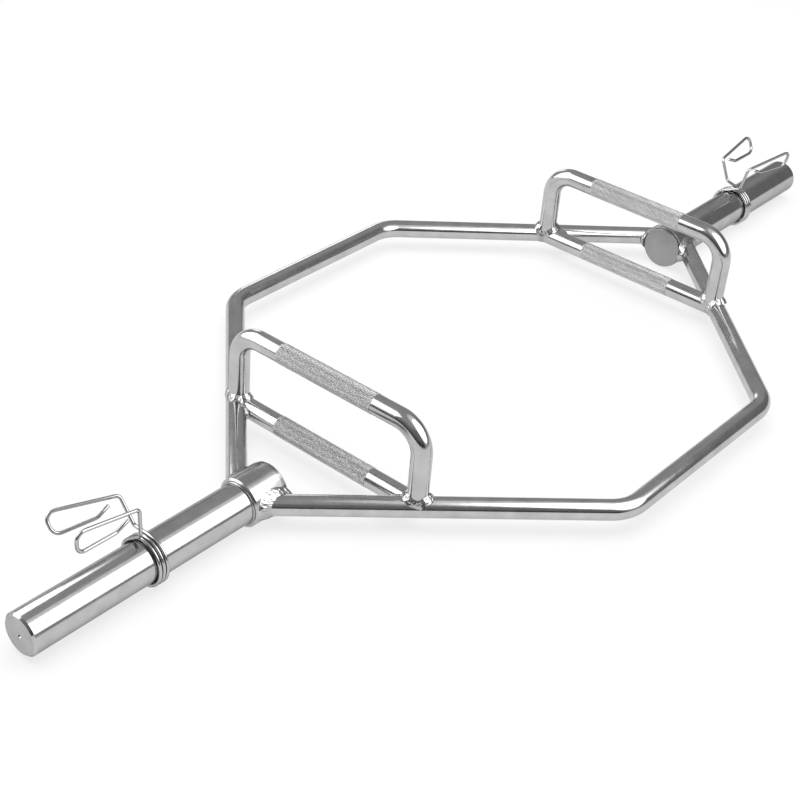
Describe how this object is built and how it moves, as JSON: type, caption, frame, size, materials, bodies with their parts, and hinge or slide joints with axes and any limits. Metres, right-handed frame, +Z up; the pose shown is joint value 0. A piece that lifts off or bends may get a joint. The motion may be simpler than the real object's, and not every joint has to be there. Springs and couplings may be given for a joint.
{
  "type": "hex trap bar",
  "caption": "Hexagonal chrome trap bar with raised and low knurled grips, plate sleeves on both sides and sliding spring clips that hold the plates.",
  "frame": {"origin": "below the middle of the hexagon, at the height of the lowest point of the hubs", "axes": "+X along the plate sleeves, +Y to the rear of the bar, +Z up, with the raised grips on top"},
  "size_m": [1.524, 0.656, 0.145],
  "materials": {
    "bar_chrome": "bright chrome plate on bent round bar",
    "hub_chrome": "bright chrome plate on turned tube",
    "sleeve_chrome": "bright chrome plate, lightly drawn along the sleeve",
    "knurled_grips": "chrome plate over a fine diamond knurl on each grip's middle",
    "weld_beads": "chrome plate over uneven weld beads",
    "spring_wire": "bright chrome plate on spring wire"
  },
  "bodies": {
    "bar": {"rear_frame_bar": "bar_chrome", "front_frame_bar": "bar_chrome", "left_hub": "hub_chrome", "left_hub_disc": "hub_chrome", "left_hub_welds": "weld_beads", "left_sleeve": "sleeve_chrome", "left_sleeve_weld": "weld_beads", "left_sleeve_plug": "sleeve_chrome", "left_high_grip": "knurled_grips", "left_post_welds": "weld_beads", "left_low_grip": "knurled_grips", "left_low_grip_welds": "weld_beads", "right_hub": "hub_chrome", "right_hub_disc": "hub_chrome", "right_hub_welds": "weld_beads", "right_sleeve": "sleeve_chrome", "right_sleeve_weld": "weld_beads", "right_sleeve_plug": "sleeve_chrome", "right_high_grip": "knurled_grips", "right_post_welds": "weld_beads", "right_low_grip": "knurled_grips", "right_low_grip_welds": "weld_beads"},
    "left_clip": {"left_clip_coil": "spring_wire"},
    "left_inner_arm": {"left_clip_inner_arm": "spring_wire"},
    "left_outer_arm": {"left_clip_outer_arm": "spring_wire"},
    "right_clip": {"right_clip_coil": "spring_wire"},
    "right_inner_arm": {"right_clip_inner_arm": "spring_wire"},
    "right_outer_arm": {"right_clip_outer_arm": "spring_wire"}
  },
  "joints": [
    {"name": "left_clip_slide", "type": "slide", "parent": "bar", "child": "left_clip", "axis": [-1, 0, 0], "range_m": [-0.123, 0.152]},
    {"name": "left_inner_squeeze", "type": "hinge", "parent": "left_clip", "child": "left_inner_arm", "pos_m": [-0.596, 0, 0.03015], "axis": [1, 0, 0], "range_deg": [0, 18], "stiffness_Nm_per_rad": 2, "deforming": ["left_clip_coil"]},
    {"name": "left_outer_squeeze", "type": "hinge", "parent": "left_clip", "child": "left_outer_arm", "pos_m": [-0.596, 0, 0.03015], "axis": [1, 0, 0], "range_deg": [-18, 0], "stiffness_Nm_per_rad": 2, "deforming": ["left_clip_coil"]},
    {"name": "right_clip_slide", "type": "slide", "parent": "bar", "child": "right_clip", "axis": [1, 0, 0], "range_m": [-0.136, 0.139]},
    {"name": "right_inner_squeeze", "type": "hinge", "parent": "right_clip", "child": "right_inner_arm", "pos_m": [0.609, 0, 0.03015], "axis": [1, 0, 0], "range_deg": [-18, 0], "stiffness_Nm_per_rad": 2, "deforming": ["right_clip_coil"]},
    {"name": "right_outer_squeeze", "type": "hinge", "parent": "right_clip", "child": "right_outer_arm", "pos_m": [0.609, 0, 0.03015], "axis": [1, 0, 0], "range_deg": [0, 18], "stiffness_Nm_per_rad": 2, "deforming": ["right_clip_coil"]}
  ],
  "couplings": [
    {"joint": "left_outer_squeeze", "follows": "left_inner_squeeze", "ratio": -1},
    {"joint": "right_outer_squeeze", "follows": "right_inner_squeeze", "ratio": -1}
  ]
}
